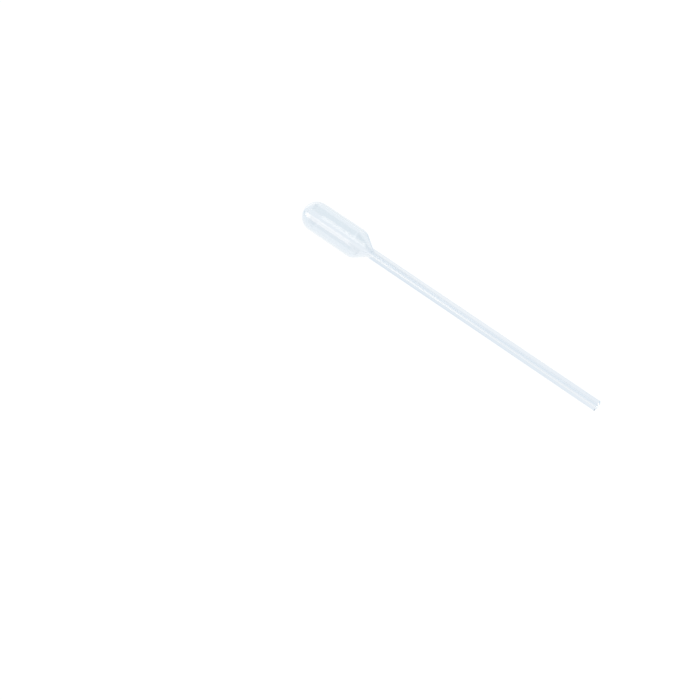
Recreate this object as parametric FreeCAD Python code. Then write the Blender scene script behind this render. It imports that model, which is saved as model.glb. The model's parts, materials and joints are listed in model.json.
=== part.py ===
import FreeCAD, Part
import math
import os

# A dropper pipette, blow moulded in one piece: a squeeze bulb, a short conical shoulder
# and a thick-walled stem whose fine bore is open at the tip.
# It's drawn with its axis on X, the end of its dome at x = 0 and the plane where the
# mould halves met on XZ. Then it's laid down as it rests on a bench, on its shoulder
# and the rim of its tip.

# Driving dimensions, mm and degrees
bulb_radius = 4.9
bulb_straight = 17.4          # centre of the dome to the sharp corner of the shoulder
shoulder_length = 4.75        # sharp corner of the shoulder to sharp corner of the neck
stem_length = 87.4            # sharp corner of the neck to the tip
stem_radius = 1.7
shoulder_fillet = 3.7
neck_fillet = 1.3
tip_round = 0.4

bulb_wall = 0.4
dome_end_wall = 0.7           # thickest where the mould pinched the tube shut
bore_radius = 0.45
bore_mouth_round = 0.15
funnel_delay = 1.6            # the cone inside runs on this far past the neck
funnel_fillet = 2.6

parting_height = 0.04         # the fine raised line between the two mould halves
parting_width = 0.16
parting_lean = 20.0           # mould plane from the vertical, its top towards -Y

weld_height = 0.14            # the pinched weld over the end of the dome
weld_width = 0.5
weld_half_span = 38.0         # angle at the dome's centre
bead_radius = 0.35            # the same weld inside, a rounded bead
bead_arc_radius = 6.0         # flatter than the dome, so the bead fades into the wall
bead_reach = 1.5              # the bead keeps this near the end of the dome

root_depth = 0.2              # how deep a raised line is rooted in the wall

origin = FreeCAD.Vector(0, 0, 0)
axis_x = FreeCAD.Vector(1, 0, 0)
axis_y = FreeCAD.Vector(0, 1, 0)

dome_centre = bulb_radius
shoulder_x = dome_centre + bulb_straight
neck_x = shoulder_x + shoulder_length
tip_x = neck_x + stem_length
inner_radius = bulb_radius - bulb_wall


def point(x, z):
    return FreeCAD.Vector(x, 0, z)


def line(start, end):
    return Part.LineSegment(start, end).toShape()


def dome_arc(radius):
    """Quarter circle from the axis to the given radius over the dome's centre."""
    slant = radius * math.sqrt(0.5)
    return Part.Arc(
        point(dome_centre - radius, 0),
        point(dome_centre - slant, slant),
        point(dome_centre, radius),
    ).toShape()


def inner_dome_arc():
    """Quarter ellipse of the hollow's end, flattened by the thicker wall there."""
    ellipse = Part.Ellipse(
        point(dome_centre, inner_radius), point(dome_end_wall, 0), point(dome_centre, 0)
    )
    return Part.ArcOfEllipse(ellipse, 0, math.pi / 2).toShape()


def rounded_run(start, corners, end):
    """Straight lines from start to end by way of corners, each an (x, z, radius)."""
    edges = []
    here = start
    for number, (x, z, radius) in enumerate(corners):
        corner = point(x, z)
        following = point(*corners[number + 1][:2]) if number + 1 < len(corners) else end
        back = (here - corner).normalize()
        ahead = (following - corner).normalize()
        half_angle = back.getAngle(ahead) / 2
        run_in = radius / math.tan(half_angle)
        inwards = (back + ahead).normalize()
        arc_start = corner + back * run_in
        arc_middle = corner + inwards * (radius / math.sin(half_angle) - radius)
        arc_end = corner + ahead * run_in
        edges += [line(here, arc_start), Part.Arc(arc_start, arc_middle, arc_end).toShape()]
        here = arc_end
    return edges + [line(here, end)]


def turned(edges):
    """Solid of revolution about X, its seam turned away from the mould line."""
    solid = Part.Face(Part.Wire(edges)).revolve(origin, axis_x, 360)
    return solid.rotate(origin, axis_x, 90)


def plate(edges, width):
    """Flat plate on both sides of the axis, with the edges as its outline on each."""
    half = Part.Face(Part.Wire(edges)).extrude(axis_y * width)
    half.translate(axis_y * (-width / 2))
    return half.fuse(half.rotated(origin, axis_x, 180))


def wall_solid():
    """The pipette's own wall, from its half section: out along the outside, back inside."""
    corners = [
        (shoulder_x, bulb_radius, shoulder_fillet),
        (neck_x, stem_radius, neck_fillet),
        (tip_x, stem_radius, tip_round),
        (tip_x, bore_radius, bore_mouth_round),
        (neck_x + funnel_delay, bore_radius, funnel_fillet),
        (shoulder_x, inner_radius, shoulder_fillet - bulb_wall),
    ]
    edges = [dome_arc(bulb_radius)]
    edges += rounded_run(point(dome_centre, bulb_radius), corners, point(dome_centre, inner_radius))
    edges += [inner_dome_arc(), line(point(dome_end_wall, 0), origin)]
    return turned(edges)


def outline(grow):
    """Half section of the outside without its hollow, standing off the surface by grow.

    It stops short of the tip's rounded rim, where the mould line was cut off.
    """
    stop = tip_x - tip_round
    corners = [
        (shoulder_x, bulb_radius + grow, shoulder_fillet + grow),
        (neck_x, stem_radius + grow, neck_fillet - grow),
    ]
    edges = [dome_arc(bulb_radius + grow)]
    edges += rounded_run(
        point(dome_centre, bulb_radius + grow), corners, point(stop, stem_radius + grow)
    )
    edges += [line(point(stop, stem_radius + grow), point(stop, 0)), line(point(stop, 0), point(-grow, 0))]
    return edges


def parting_line(rooting):
    """The fine raised line along both sides and round the dome."""
    return plate(outline(parting_height), parting_width).cut(rooting)


def weld(rooting):
    """The weld's crescent: a thin disc that stands out at the dome's end only."""
    span = math.radians(weld_half_span)
    half_chord = bulb_radius * math.sin(span)
    rise = bulb_radius * (1 - math.cos(span)) + weld_height
    radius = (half_chord ** 2 + rise ** 2) / (2 * rise)
    centre = FreeCAD.Vector(radius - weld_height, -weld_width / 2, 0)
    return Part.makeCylinder(radius, weld_width, centre, axis_y).cut(rooting)


def weld_bead():
    """The weld inside the hollow: part of a ring that sinks into the wall at its ends."""
    ring_centre = point(dome_end_wall + bead_arc_radius, 0)
    ring = Part.makeTorus(bead_arc_radius, bead_radius, ring_centre, axis_y)
    near_end = Part.makeCylinder(bulb_radius, bead_reach, origin, axis_x)
    return ring.common(near_end).common(turned(outline(-root_depth / 2)))


def at_rest(solid):
    """Lay the pipette on its shoulder and the rim of its tip, centred over the origin."""
    half_corner = math.atan2(bulb_radius - stem_radius, shoulder_length) / 2
    run = (tip_x - tip_round) - (shoulder_x - shoulder_fillet * math.tan(half_corner))
    drop = (bulb_radius - shoulder_fillet) - (stem_radius - tip_round)
    tilt = math.atan2(drop, run) + math.asin((shoulder_fillet - tip_round) / math.hypot(run, drop))
    laid = solid.rotate(origin, axis_x, parting_lean).rotate(origin, axis_y, math.degrees(tilt))
    box = laid.optimalBoundingBox(False, False)
    return laid.translate(FreeCAD.Vector(-box.Center.x, -box.Center.y, -box.ZMin))


def make_pipette():
    rooting = turned(outline(-root_depth))
    solid = wall_solid()
    for detail in (parting_line(rooting), weld(rooting), weld_bead()):
        solid = solid.fuse(detail)
    return at_rest(solid.removeSplitter())


os.makedirs("parts", exist_ok=True)
pipette = make_pipette()
pipette.exportStep("parts/pipette.step")
box = pipette.optimalBoundingBox(False, False)
print("pipette", pipette.isValid(), len(pipette.Solids), "solid,", round(pipette.Volume, 1), "mm3")
print("size", [round(length, 3) for length in (box.XLength, box.YLength, box.ZLength)])
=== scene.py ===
import json
import math

import bpy
import numpy as np
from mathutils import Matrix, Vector


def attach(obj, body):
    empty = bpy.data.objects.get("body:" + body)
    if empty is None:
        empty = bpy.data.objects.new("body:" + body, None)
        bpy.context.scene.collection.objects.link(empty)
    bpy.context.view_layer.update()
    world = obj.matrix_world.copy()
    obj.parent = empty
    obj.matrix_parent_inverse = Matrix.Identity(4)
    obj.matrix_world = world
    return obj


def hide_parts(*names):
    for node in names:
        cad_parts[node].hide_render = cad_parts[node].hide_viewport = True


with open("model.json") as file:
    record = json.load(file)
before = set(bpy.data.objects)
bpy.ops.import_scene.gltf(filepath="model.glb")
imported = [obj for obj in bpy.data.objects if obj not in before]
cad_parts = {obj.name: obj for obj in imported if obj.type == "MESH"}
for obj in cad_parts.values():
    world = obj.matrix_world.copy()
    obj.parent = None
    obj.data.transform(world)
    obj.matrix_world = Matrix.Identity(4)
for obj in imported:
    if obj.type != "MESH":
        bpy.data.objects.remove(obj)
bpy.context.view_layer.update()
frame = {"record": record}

mm = 0.001


# The camera looks down on the pipette from the side of its tip.
camera = {
    "azimuth": 40.72,  # degrees, 0 looks along +Y and 90 along -X
    "elevation": 53.0,
    "distance": 406.9,  # mm
    "aim": (-11.9, -30.6, 0.0),  # mm, the pipette lies above and right of the middle
    "lens": 69.07,
    "clip": (10.0, 20000.0),  # mm
}


# The way from a thing looked at back to a viewer at this azimuth and elevation
def towards(azimuth, elevation):
    a, e = math.radians(azimuth), math.radians(elevation)
    return Vector((math.sin(a) * math.cos(e), -math.cos(a) * math.cos(e), math.sin(e)))


# Stand a camera or a lamp at a distance in mm from its aim, and turn it to face it
def standAt(made, aim, azimuth, elevation, distance):
    back = towards(azimuth, elevation)
    made.location = (Vector(aim) + back * distance) * mm
    made.rotation_mode = "QUATERNION"
    made.rotation_quaternion = back.to_track_quat("Z", "Y")
    bpy.context.scene.collection.objects.link(made)


def makeCamera(s):
    data = bpy.data.cameras.new("camera")
    data.lens = s["lens"]
    data.clip_start, data.clip_end = (reach * mm for reach in s["clip"])
    made = bpy.data.objects.new("camera", data)
    standAt(made, s["aim"], s["azimuth"], s["elevation"], s["distance"])
    bpy.context.scene.camera = made
    print("camera at", [round(side / mm, 1) for side in made.location], "mm")


# One output socket. Operators on it add Math nodes, and node() adds any other node.
class Socket:
    def __init__(self, tree, socket=None):
        self.tree, self.socket = tree, socket

    def node(self, kind, settings=None, inputs=None, output=0):
        made = self.tree.nodes.new(kind)
        for name, value in (settings or {}).items():
            if name == "stops":
                setStops(made.color_ramp.elements, value)
            else:
                setattr(made, name, value)
        for name, value in (inputs or {}).items():
            if isinstance(value, Socket):
                self.tree.links.new(value.socket, made.inputs[name])
            else:
                made.inputs[name].default_value = value
        return Socket(self.tree, made.outputs[output] if len(made.outputs) else None)

    def math(self, operation, *values):
        return self.node("ShaderNodeMath", {"operation": operation}, dict(enumerate(values)))

    def __add__(self, other):
        return self.math("ADD", self, other)

    def __sub__(self, other):
        return self.math("SUBTRACT", self, other)

    def __rsub__(self, other):
        return self.math("SUBTRACT", other, self)

    def __mul__(self, other):
        return self.math("MULTIPLY", self, other)

    __radd__, __rmul__ = __add__, __mul__


def setStops(elements, stops):
    while len(elements) < len(stops):
        elements.new(1.0)
    for element, (position, colour) in zip(elements, stops):
        element.position, element.color = position, (*colour, 1.0)


# A material's or world's cleared node tree, wrapped so that nodes can be added to it
def emptyTree(owner):
    owner.use_nodes = True
    owner.node_tree.nodes.clear()
    return Socket(owner.node_tree)


# 0 below one value and 1 above the other, with a smooth step between them
def smoothStep(tree, value, low, high):
    return tree.node("ShaderNodeMapRange", {"interpolation_type": "SMOOTHSTEP"},
                     {"Value": value, "From Min": low, "From Max": high})


# 1 inside a span and 0 outside it, with a smooth step over the soft width at each end
def inside(tree, value, span, soft):
    rise, fall = (smoothStep(tree, value, end - soft, end + soft) for end in span)
    return rise * (1 - fall)


# A colour that goes from stop to stop, each (value, colour), as the value does
def colourRamp(tree, value, stops):
    low, high = stops[0][0], stops[-1][0]
    shares = [((stop - low) / (high - low), colour) for stop, colour in stops]
    share = (value - low) * (1 / (high - low))
    return tree.node("ShaderNodeValToRGB", {"stops": shares}, {0: share})


# The first colour where the share is 0 and the second where it is 1
def mixColours(tree, share, first, second):
    return tree.node("ShaderNodeMix", {"data_type": "RGBA"}, {0: share, 6: first, 7: second},
                     output=2)


def mixShaders(tree, share, first, second):
    return tree.node("ShaderNodeMixShader", inputs={0: share, 1: first, 2: second})


# The other shader for rays of the named kinds, and the given one for all the rest
def forRays(tree, kinds, shader, other):
    for kind in kinds:
        shader = mixShaders(tree, tree.node("ShaderNodeLightPath", output=kind), shader, other)
    return shader


# The pipette's half section is drawn with the axis on X and the end of its dome at x = 0.
pipette = {  # mm and degrees
    "bulbRadius": 4.9,
    "shoulderX": 22.3,  # the sharp corner that the bulb's fillet rounds off
    "neckX": 27.05,
    "tipX": 114.45,
    "stemRadius": 1.7,
    "shoulderFillet": 3.7,
    "innerFillet": 1.5,  # inside the same shoulder
    "neckFillet": 1.3,
    "tipRound": 0.4,
    "bulbWall": 0.4,
    "domeEndWall": 0.45,
    "boreRadius": 0.45,
    "mouthRound": 0.15,
    "funnelDelay": 1.6,
    "funnelFillet": 2.6,
    "partingLean": 20.0,  # the mould plane from the vertical, its top towards -Y
    "ridgeHeight": 0.03,
    "ridgeWidth": 0.16,
    "weldHeight": 0.12,
    "weldWidth": 0.5,
    "weldSpan": 38.0,  # angle at the dome's centre
    "beadHeight": 0.3,
    "beadWidth": 0.7,
    "beadReach": 2.8,
    "drawDepth": 0.004,  # fine lines along the bulb
    "drawPitch": 6.5,  # degrees
    "drawSpan": 26.0,
    "mountGap": 0.05,  # from the tip's rounded edge to the end of the record's stem mount
    "outerDomeSteps": 48,
    "innerDomeSteps": 30,
    "innerBulbSteps": 16,
    "ridgeSteps": 6,
    "drawSteps": 32,
    "restSteps": 56,
}


# Steps from 0 towards 1 that lie closer together at both ends: (1 - cos(pi k / n)) / 2
def easedSteps(count):
    return (1 - np.cos(np.pi * np.arange(count) / count)) / 2


# Points of a straight run, without its end
def straightRun(start, end, count):
    return start + easedSteps(count)[:, None] * (end - start)


# Points of an elliptic arc, without its end: centre + (a cos t, b sin t), t even from start to stop
def arcRun(centre, radii, start, stop, count):
    turn = start + (stop - start) * np.arange(count) / count
    return centre + np.stack([radii[0] * np.cos(turn), radii[1] * np.sin(turn)], axis=1)


def unit(vector):
    return vector / np.linalg.norm(vector)


# Straight runs by way of corners, each (x, r, fillet, steps before it, steps round it).
# A fillet touches both runs at fillet / tan(half the corner's angle) from the corner.
def roundedRun(start, corners, end, lastSteps):
    runs, here = [], start
    places = [np.array(corner[:2]) for corner in corners] + [end]
    for (x, r, fillet, before, around), corner, ahead in zip(corners, places, places[1:]):
        into, out = unit(here - corner), unit(ahead - corner)
        half = math.acos(into @ out) / 2
        centre = corner + unit(into + out) * fillet / math.sin(half)
        first, last = (corner + side * fillet / math.tan(half) for side in (into, out))
        rise = math.atan2(*(first - centre)[::-1])
        turn = (math.atan2(*(last - centre)[::-1]) - rise + math.pi) % math.tau - math.pi
        runs.append(straightRun(here, first, before))
        runs.append(arcRun(centre, (fillet, fillet), rise, rise + turn, around))
        here = last
    return runs + [straightRun(here, end, lastSteps)]


# The closed half section (x, r): along the outside to the tip, in at the bore's mouth and back
# inside. Also each point's normal, which is its direction of travel turned by a right angle,
# and whether it is on the outside, which the first six walls after the dome are.
def halfSection(s):
    inner = s["bulbRadius"] - s["bulbWall"]
    domeCentre = np.array([s["bulbRadius"], 0.0])
    corners = [
        (s["shoulderX"], s["bulbRadius"], s["shoulderFillet"], 16, 16),
        (s["neckX"], s["stemRadius"], s["neckFillet"], 5, 10),
        (s["tipX"], s["stemRadius"], s["tipRound"], 48, 10),
        (s["tipX"], s["boreRadius"], s["mouthRound"], 4, 6),
        (s["neckX"] + s["funnelDelay"], s["boreRadius"], s["funnelFillet"], 32, 12),
        (s["shoulderX"], inner, s["innerFillet"], 6, 16),
    ]
    outerDome = arcRun(domeCentre, (s["bulbRadius"], s["bulbRadius"]), np.pi, np.pi / 2,
                       s["outerDomeSteps"])
    walls = roundedRun(domeCentre + (0, s["bulbRadius"]), corners, domeCentre + (0, inner),
                       s["innerBulbSteps"])
    innerDome = arcRun(domeCentre, (s["bulbRadius"] - s["domeEndWall"], inner), np.pi / 2, np.pi,
                       s["innerDomeSteps"])
    points = np.concatenate([outerDome, *walls, innerDome, [(s["domeEndWall"], 0.0)]])
    travel = np.gradient(points, axis=0)
    travel /= np.linalg.norm(travel, axis=1)[:, None]
    normals = np.stack([-travel[:, 1], travel[:, 0]], axis=1)
    outer = np.arange(len(points)) < sum(len(run) for run in [outerDome, *walls[:6]])
    return points, normals, outer


# Angles round the axis for each row, from one parting line over the other and back. Next to a
# parting line they step by even widths over its ridge, then evenly over the draw lines.
def ringAngles(radius, s):
    ridge = s["ridgeWidth"] / 2 / np.maximum(radius, s["stemRadius"])[:, None]
    span = np.radians(s["drawSpan"])
    acrossRidge = ridge * np.arange(s["ridgeSteps"]) / s["ridgeSteps"]
    acrossDraw = ridge + (span - ridge) * np.arange(s["drawSteps"]) / s["drawSteps"]
    rest = span + (np.pi - 2 * span) * np.arange(s["restSteps"]) / s["restSteps"]
    rest = np.broadcast_to(rest, (len(radius), s["restSteps"]))
    near = np.concatenate([acrossRidge, acrossDraw, rest], axis=1)
    far = np.concatenate([acrossRidge[:, 1:], acrossDraw, span + 0 * ridge], axis=1)
    half = np.concatenate([near, np.pi - far[:, ::-1]], axis=1)
    return np.concatenate([half, half + np.pi], axis=1)


# A smooth bump: (1 - q squared) squared, and 0 beyond q = 1
def bump(q):
    return np.clip(1 - q ** 2, 0, None) ** 2


# A smooth rise from 0 at 0 to 1 at 1: q squared times (3 - 2 q)
def riseTo(value):
    q = np.clip(value, 0, 1)
    return q * q * (3 - 2 * q)


# What stands out from the outside: the parting line's ridge, the weld's crescent at the dome's
# end, and fine draw lines, a cosine of the angle under a smooth window.
def outerRelief(x, r, angle, s):
    offPlane = r * np.abs(np.sin(angle))
    ridge = s["ridgeHeight"] * bump(offPlane / (s["ridgeWidth"] / 2))
    ridge = ridge * riseTo((s["tipX"] - s["tipRound"] - x) / s["tipRound"])
    fromEnd = np.degrees(np.arctan2(r, s["bulbRadius"] - x))
    crescent = s["weldHeight"] * np.clip(1 - (fromEnd / s["weldSpan"]) ** 2, 0, None)
    weld = crescent * np.clip(1 - (2 * offPlane / s["weldWidth"]) ** 4, 0, None)
    degrees = np.degrees(angle)
    draw = s["drawDepth"] * np.cos(2 * np.pi * degrees / s["drawPitch"])
    draw = draw * bump(degrees / s["drawSpan"] * 2 - 1)
    draw = draw * riseTo((s["neckX"] - x) / s["neckFillet"])
    return np.maximum(ridge, weld) + draw * (r > 0)


# What stands into the hollow: the weld's bead near the dome's end
def innerRelief(x, r, angle, s):
    offPlane = r * np.abs(np.sin(angle))
    bead = s["beadHeight"] * bump(2 * offPlane / s["beadWidth"])
    return bead * bump(r / s["beadReach"]) * (x < s["bulbRadius"])


# The half section carried round the axis: each point goes out along its normal by the relief,
# then to the axis + r (cos(angle) top + sin(angle) across).
def shellMesh(s):
    points, normals, outer = halfSection(s)
    angles = ringAngles(points[:, 1], s)
    x, r = points[:, 0, None], points[:, 1, None]
    relief = np.where(outer[:, None], outerRelief(x, r, angles, s), innerRelief(x, r, angles, s))
    x = x + relief * normals[:, 0, None]
    r = r + relief * normals[:, 1, None]
    axis, lean = stemAxis(s)
    top = np.cos(lean) * axis["up"] + np.sin(lean) * axis["side"]
    across = np.cos(lean) * axis["side"] - np.sin(lean) * axis["up"]
    grid = (axis["end"] + x[..., None] * axis["along"]
            + (r * np.cos(angles))[..., None] * top + (r * np.sin(angles))[..., None] * across)
    return closedShell("pipetteShell", grid * mm)


# The axis as the record's stem mount gives it, with the end of the dome, up and side of it
def stemAxis(s):
    mount = next(m for m in frame["record"]["mounts"] if m["name"] == "stem")
    along = unit(np.array(mount["axis"]))
    middle = s["tipX"] - s["tipRound"] - s["mountGap"] - mount["dims"]["length_mm"] / 2
    up = unit(np.array([0.0, 0.0, 1.0]) - along[2] * along)
    side = np.cross(along, up)
    end = np.array(mount["pos_m"]) / mm - middle * along
    return {"along": along, "up": up, "side": side, "end": end}, math.radians(s["partingLean"])


# A mesh from a grid of points whose first and last rows are poles and whose columns close up
def closedShell(name, grid):
    rows, columns = grid.shape[:2]
    points = np.concatenate([grid[:1, 0], grid[1:-1].reshape(-1, 3), grid[-1:, 0]])
    number = 1 + np.arange((rows - 2) * columns).reshape(rows - 2, columns)
    beside = np.roll(number, -1, axis=1)
    quads = np.stack([number[:-1], beside[:-1], beside[1:], number[1:]], axis=-1).reshape(-1, 4)
    first = np.stack([np.zeros(columns, int), beside[0], number[0]], axis=-1)
    last = np.stack([number[-1], beside[-1], np.full(columns, len(points) - 1)], axis=-1)
    mesh = bpy.data.meshes.new(name)
    mesh.from_pydata(points.tolist(), [], first.tolist() + quads.tolist() + last.tolist())
    mesh.shade_smooth()
    return mesh


plastic = {
    "tint": (0.930, 0.951, 0.970),
    "ior": 1.54,
    "roughness": (0.0, 0.035),  # from clean to lightly scuffed
    "scuffs": {"Scale": 900.0, "Detail": 4.0, "Roughness": 0.6},  # scale per metre
    "scuffEdge": (0.45, 0.75),  # noise values at which a scuff begins and is full
    "waves": {"Scale": 260.0, "Detail": 2.0},
    "waveHeight": 0.006,  # mm, the moulded wall's slight unevenness
    "absorbed": (0.52, 0.66, 0.80),  # what thick plastic leaves of the light
    "density": 45.0,  # per metre
    "shade": (0.80, 0.86, 0.92),  # what a wall lets through to the floor
}


def clearPolyethylene(s):
    material = bpy.data.materials.new("clearPolyethylene")
    tree = emptyTree(material)
    position = tree.node("ShaderNodeTexCoord", output="Object")
    scuffs = tree.node("ShaderNodeTexNoise", inputs={"Vector": position, **s["scuffs"]})
    clean, scuffed = s["roughness"]
    waves = tree.node("ShaderNodeTexNoise", inputs={"Vector": position, **s["waves"]})
    uneven = tree.node("ShaderNodeBump", inputs={"Height": waves, "Distance": s["waveHeight"] * mm})
    clear = tree.node("ShaderNodeBsdfPrincipled", inputs={
        "Base Color": (*s["tint"], 1.0),
        "Roughness": smoothStep(tree, scuffs, *s["scuffEdge"]) * (scuffed - clean) + clean,
        "Normal": uneven,
        "IOR": s["ior"],
        "Transmission Weight": 1.0,
    })
    letThrough = tree.node("ShaderNodeBsdfTransparent", inputs={"Color": (*s["shade"], 1.0)})
    clear = forRays(tree, ("Is Shadow Ray", "Is Diffuse Ray"), clear, letThrough)
    # Light that a wall mirrors leaves through the next wall unbent, so none is caught for good.
    leaves = tree.node("ShaderNodeBsdfTransparent")
    clear = forRays(tree, ("Is Reflection Ray",), clear, leaves)
    volume = tree.node("ShaderNodeVolumeAbsorption", inputs={
        "Color": (*s["absorbed"], 1.0), "Density": s["density"]})
    tree.node("ShaderNodeOutputMaterial", inputs={"Surface": clear, "Volume": volume})
    return material


def makePipette(s):
    made = bpy.data.objects.new("pipette_shell", shellMesh(s))
    bpy.context.scene.collection.objects.link(made)
    made.data.materials.append(clearPolyethylene(plastic))
    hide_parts("pipette")
    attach(made, "root")
    print("pipette made:", len(made.data.vertices), "points,", len(made.data.polygons), "faces")


floor = {
    "halfWidth": 3.0,  # metres
    "white": 0.9,
    "evenShare": 0.85,  # how much of what the camera sees is even, the rest takes light and shadow
    "evenWhite": 1.09,
    "bulbPaintedShade": (  # painted light and shade on the floor, which only the bulb mirrors and shows, by mm towards +Y: painted shade under and behind it with a lighter band between, darker and bluer far in front
        (-60.0, (0.55, 0.74, 0.84)),
        (-20.0, (0.86, 0.92, 0.96)),
        (-1.0, (0.955, 0.975, 0.99)),
        (2.2, (0.985, 0.99, 1.00)),
        (4.5, (0.95, 0.975, 0.99)),
        (9.0, (0.93, 0.965, 0.98)),
        (16.0, (0.96, 0.98, 0.99)),
        (80.0, (0.94, 0.97, 0.98)),
    ),
    "stemPaintedShade": (  # the same for the stem: a painted bright line of focused light right under it and painted shadow behind it, darker further towards +Y
        (-20.0, (0.92, 0.95, 0.97)),
        (-3.0, (0.95, 0.97, 0.985)),
        (-0.8, (1.00, 1.00, 1.00)),
        (1.2, (1.00, 1.00, 1.00)),
        (2.0, (0.93, 0.95, 0.975)),
        (2.7, (0.88, 0.92, 0.955)),
        (9.0, (0.86, 0.90, 0.94)),
        (18.0, (0.76, 0.83, 0.90)),
        (80.0, (0.62, 0.71, 0.80)),
    ),
    "stemShadeFlare": 0.016,  # the painted shadow's front edge draws near the stem towards its tip, mm per mm
    "stemShadeEdge": (-33.0, -28.5),  # mm along X, where the soft edge between the bulb's and the stem's painted light and shade meets Y = 0
    "stemShadeSlant": 0.39,  # mm that this edge runs back along X for each mm towards +Y
}


def makeFloor(s):
    w = s["halfWidth"]
    mesh = bpy.data.meshes.new("floor")
    mesh.from_pydata([(-w, -w, 0), (w, -w, 0), (w, w, 0), (-w, w, 0)], [], [(0, 1, 2, 3)])
    material = bpy.data.materials.new("paleFloor")
    tree = emptyTree(material)
    lit = tree.node("ShaderNodeBsdfDiffuse", inputs={"Color": (s["white"],) * 3 + (1.0,)})
    even = tree.node("ShaderNodeEmission", inputs={"Strength": s["evenWhite"]})
    isCamera = tree.node("ShaderNodeLightPath", output="Is Camera Ray")
    surface = mixShaders(tree, isCamera * s["evenShare"], lit, even)
    position = tree.node("ShaderNodeTexCoord", output="Object")
    along, behind = (
        tree.node("ShaderNodeSeparateXYZ", inputs={0: position}, output=axis) * (1 / mm)
        for axis in "XY")
    # Painted light and shade on the floor, by mm towards +Y, seen only in what the plastic mirrors
    # and shows
    underBulb = colourRamp(tree, behind, s["bulbPaintedShade"])
    # Painted focused light right under the stem and painted shadow behind it
    underStem = colourRamp(tree, behind + along * s["stemShadeFlare"], s["stemPaintedShade"])
    # Share of the stem's painted light and shadow over the bulb's, by a soft slanted edge
    stemShadeShare = smoothStep(tree, along + behind * s["stemShadeSlant"], *s["stemShadeEdge"])
    seen = tree.node("ShaderNodeEmission", inputs={
        "Color": mixColours(tree, stemShadeShare, underBulb, underStem)})
    surface = forRays(tree, ("Is Glossy Ray", "Is Transmission Ray"), surface, seen)
    tree.node("ShaderNodeOutputMaterial", inputs={"Surface": surface})
    mesh.materials.append(material)
    made = bpy.data.objects.new("floor", mesh)
    bpy.context.scene.collection.objects.link(made)
    print("floor made")


# One large lamp in front lights the floor and gives the pipette its soft shadow there.
keyLamp = {
    "azimuth": 0.0,  # degrees
    "elevation": 55.0,
    "distance": 3000.0,  # mm
    "size": (1000.0, 1000.0),
    "radiance": 5.0,
}


def makeLamp(name, s):
    data = bpy.data.lights.new(name, "AREA")
    data.shape = "RECTANGLE"
    data.size, data.size_y = (side * mm for side in s["size"])
    data.energy = s["radiance"] * math.pi * data.size * data.size_y
    made = bpy.data.objects.new(name, data)
    standAt(made, (0, 0, 0), s["azimuth"], s["elevation"], s["distance"])
    made.visible_camera = made.visible_glossy = made.visible_transmission = False
    print("lamp made:", name)


# The light tent round the pipette, which it mirrors. The walls go by the turn from straight up,
# in degrees, towards -Y and, negative, towards +Y, and the panels also by the direction's share
# along +X. A panel fades in and out over its soft widths.
tent = {
    "walls": (
        (-90.0, (0.88, 0.92, 0.96)),
        (-79.0, (0.86, 0.90, 0.94)),
        (-68.0, (0.86, 0.90, 0.93)),
        (-54.0, (1.20, 1.18, 1.16)),
        (-44.0, (1.10, 1.10, 1.10)),
        (10.0, (0.80, 0.88, 0.95)),
        (30.0, (0.72, 0.80, 0.88)),
        (44.0, (0.85, 0.90, 0.95)),
        (70.0, (0.75, 0.83, 0.90)),
        (90.0, (0.45, 0.64, 0.75)),
    ),
    "panels": (
        {"turn": (-47.0, 9.0), "along": (-0.65, 1.5), "soft": (5.0, 0.10),
         "colour": (0.00, 0.14, 0.24)},
        {"turn": (45.0, 74.0), "along": (-0.85, -0.29), "soft": (3.0, 0.03),
         "colour": (2.90, 2.60, 2.30)},
        {"turn": (-60.0, 28.0), "along": (-0.31, -0.05), "soft": (4.0, 0.03),
         "colour": (0.92, 0.96, 1.00)},
    ),
}


def makeTent(s):
    world = bpy.data.worlds.new("tent")
    bpy.context.scene.world = world
    tree = emptyTree(world)
    direction = tree.node("ShaderNodeTexCoord", output="Generated")
    x, y, z = (
        tree.node("ShaderNodeSeparateXYZ", inputs={0: direction}, output=axis) for axis in "XYZ")
    turn = tree.math("ARCTAN2", y * -1.0, z) * math.degrees(1.0)
    colour = colourRamp(tree, turn, s["walls"])
    for panel in s["panels"]:
        softTurn, softAlong = panel["soft"]
        inTurn = inside(tree, turn, panel["turn"], softTurn)
        share = inTurn * inside(tree, x, panel["along"], softAlong)
        colour = mixColours(tree, share, colour, (*panel["colour"], 1.0))
    walls = tree.node("ShaderNodeBackground", inputs={"Color": colour})
    white = tree.node("ShaderNodeBackground", inputs={"Color": (1.0, 1.0, 1.0, 1.0)})
    surface = forRays(tree, ("Is Camera Ray",), walls, white)
    tree.node("ShaderNodeOutputWorld", inputs={"Surface": surface})
    print("tent made:", len(s["panels"]), "panels")


makeCamera(camera)
bpy.context.scene.view_settings.view_transform = "Standard"
makePipette(pipette)
makeFloor(floor)
makeLamp("key", keyLamp)
makeTent(tent)
